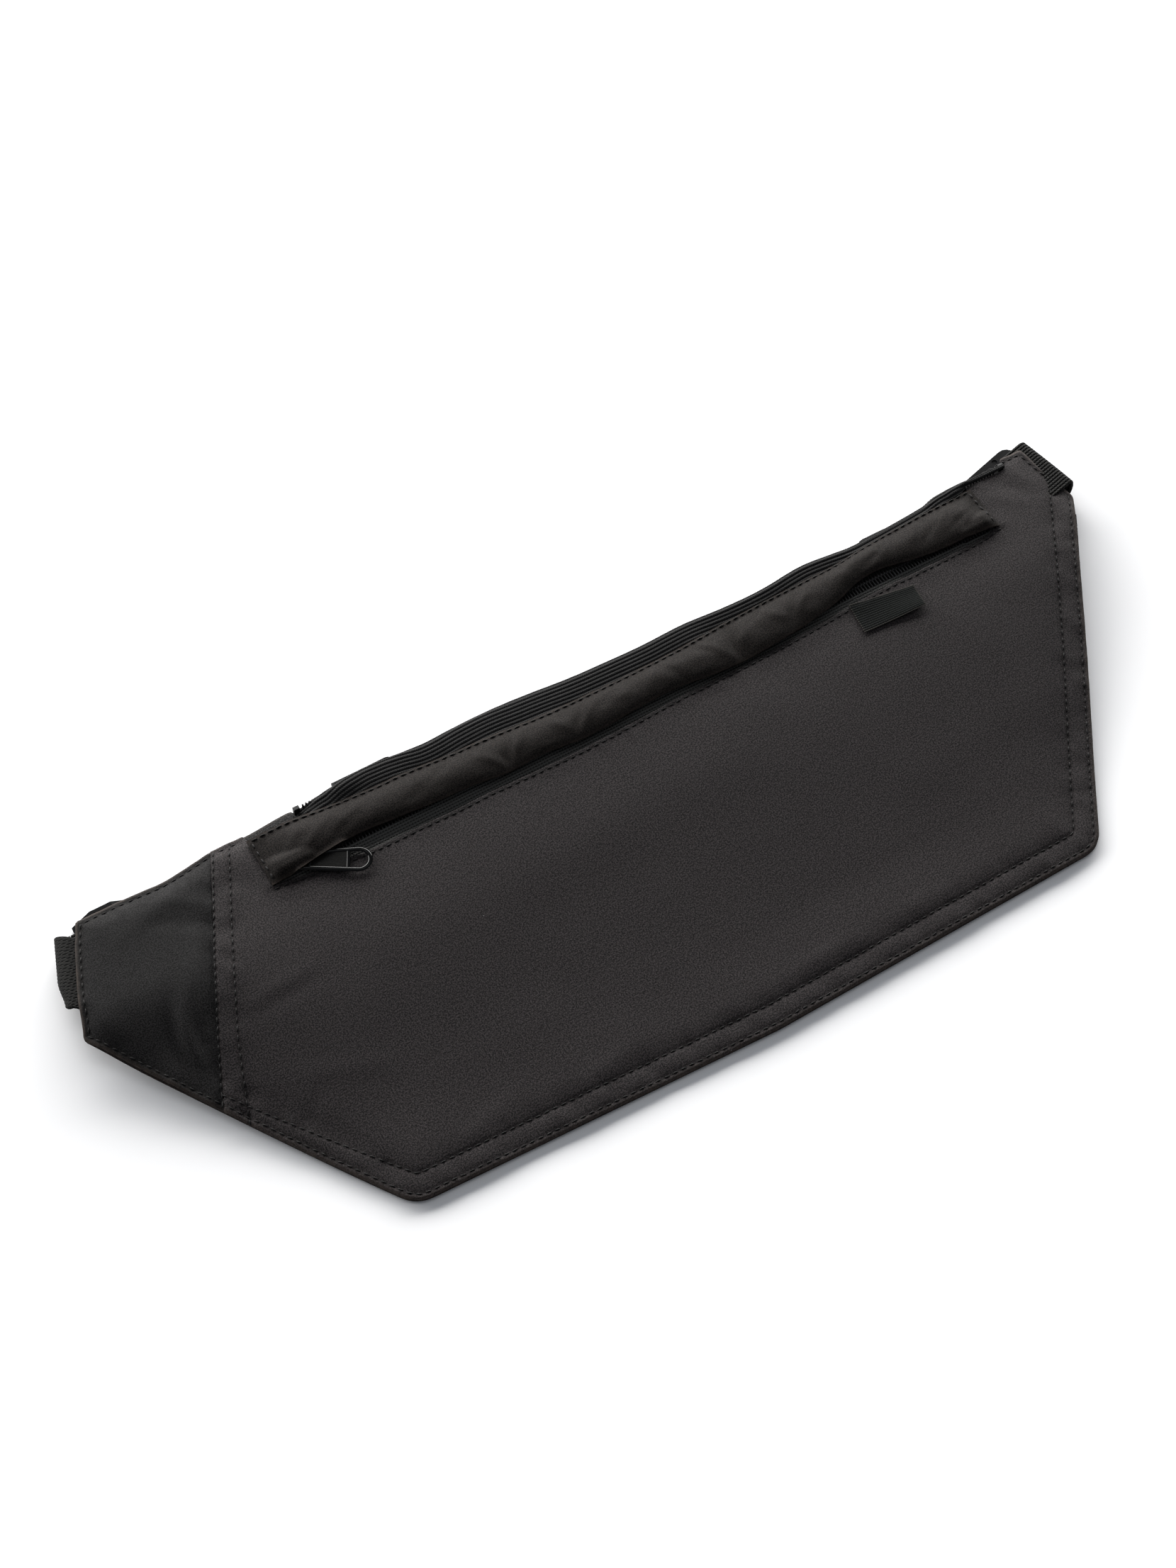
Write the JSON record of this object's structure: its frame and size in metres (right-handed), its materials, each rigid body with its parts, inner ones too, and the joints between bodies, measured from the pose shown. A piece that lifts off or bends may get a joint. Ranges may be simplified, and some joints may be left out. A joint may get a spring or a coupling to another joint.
{
  "type": "money belt",
  "caption": "Flat waist pouch with a covered front zip, a zip along its top edge, and an adjustable webbing strap with a side-release buckle, folded behind it.",
  "frame": {"origin": "middle of the belt's footprint, on the surface it lies on, front face up", "axes": "+X along the belt towards the buckle tab, +Y towards the edge with the top zip, +Z out of the front face"},
  "size_m": [0.4118, 0.1574, 0.016],
  "materials": {
    "shell": "plain woven nylon, charcoal black, faint warm sheen",
    "flap": "thin woven nylon, brownish black, satin sheen",
    "backing": "matt woven nylon",
    "lining": "thin lining cloth",
    "webbing": "ribbed polypropylene webbing, black",
    "tape": "herringbone zip tape, black",
    "coil": "nylon coil, black",
    "stop": "moulded stop, black",
    "slider": "black enamel, satin",
    "pull": "black enamel, glossy",
    "label": "blank ribbed woven label, greenish black",
    "buckle": "moulded acetal, dark grey, fine texture"
  },
  "bodies": {
    "pouch": {"back_panel": "backing", "pocket_divider": "lining", "border_facing": "shell", "front_panel": "shell", "wing_panel": "shell", "zip_flap": "flap", "front_zip_tape_lower": "tape", "front_zip_tape_upper": "tape", "front_zip_coil_lower": "coil", "front_zip_coil_upper": "coil", "front_zip_stop_left": "stop", "front_zip_stop_right": "stop", "top_zip_tape_front": "tape", "top_zip_tape_back": "tape", "top_zip_coil_front": "coil", "top_zip_coil_back": "coil", "top_zip_stop_left": "stop", "top_zip_stop_right": "stop", "strap_anchor": "webbing", "strap_fold": "webbing", "tab_anchor": "webbing", "tab_fold": "webbing"},
    "strap": {"strap_webbing": "webbing", "strap_plug_end": "webbing", "strap_return_run": "webbing", "buckle_plug": "buckle"},
    "adjuster": {"triglide": "buckle", "strap_end_loop": "webbing"},
    "arm_upper": {"buckle_arm_upper": "buckle"},
    "arm_lower": {"buckle_arm_lower": "buckle"},
    "tab": {"tab_webbing": "webbing", "buckle_socket": "buckle"},
    "front_slider": {"front_zip_slider": "slider"},
    "front_pull": {"front_zip_pull": "pull"},
    "top_slider": {"top_zip_slider": "slider"},
    "top_pull": {"top_zip_pull": "pull"},
    "label": {"woven_label": "label"}
  },
  "joints": [
    {"name": "strap_fold_hinge", "type": "hinge", "parent": "pouch", "child": "strap", "pos_m": [-0.19707, 0.05456, 0.00625], "axis": [0.3502, 0.9367, 0], "range_deg": [0, 180], "deforming": ["strap_fold"]},
    {"name": "tab_fold_hinge", "type": "hinge", "parent": "pouch", "child": "tab", "pos_m": [0.19803, 0.06346, 0.0057], "axis": [0.2419, -0.9703, 0], "range_deg": [0, 180], "deforming": ["tab_fold"]},
    {"name": "adjuster_slide", "type": "slide", "parent": "strap", "child": "adjuster", "axis": [1, 0, 0], "range_m": [0, 0.25], "deforming": ["strap_return_run"]},
    {"name": "arm_upper_squeeze", "type": "hinge", "parent": "strap", "child": "arm_upper", "pos_m": [0.13391, 0.06311, 0.0032], "axis": [0, 0, -1], "range_deg": [0, 9], "stiffness_Nm_per_rad": 0.02},
    {"name": "arm_lower_squeeze", "type": "hinge", "parent": "strap", "child": "arm_lower", "pos_m": [0.13391, 0.04431, 0.0032], "axis": [0, 0, 1], "range_deg": [0, 9], "stiffness_Nm_per_rad": 0.02},
    {"name": "front_zip_slide", "type": "slide", "parent": "pouch", "child": "front_slider", "axis": [1, 0, 0], "range_m": [0, 0.275]},
    {"name": "front_pull_lift", "type": "hinge", "parent": "front_slider", "child": "front_pull", "pos_m": [-0.11657, 0.05106, 0.0136], "axis": [-0.4695, -0.8829, 0], "range_deg": [0, 130], "deforming": ["zip_flap"]},
    {"name": "top_zip_slide", "type": "slide", "parent": "pouch", "child": "top_slider", "axis": [1, 0, 0], "range_m": [-0.012, 0.25]},
    {"name": "top_pull_lift", "type": "hinge", "parent": "top_slider", "child": "top_pull", "pos_m": [-0.08657, 0.07191, 0.0101], "axis": [0, 0, 1], "range_deg": [0, 130]},
    {"name": "label_flip", "type": "hinge", "parent": "pouch", "child": "label", "pos_m": [0.11373, 0.04406, 0.01265], "axis": [-1, 0, 0], "range_deg": [0, 110]}
  ],
  "couplings": [
    {"joint": "arm_lower_squeeze", "follows": "arm_upper_squeeze", "ratio": 1}
  ]
}
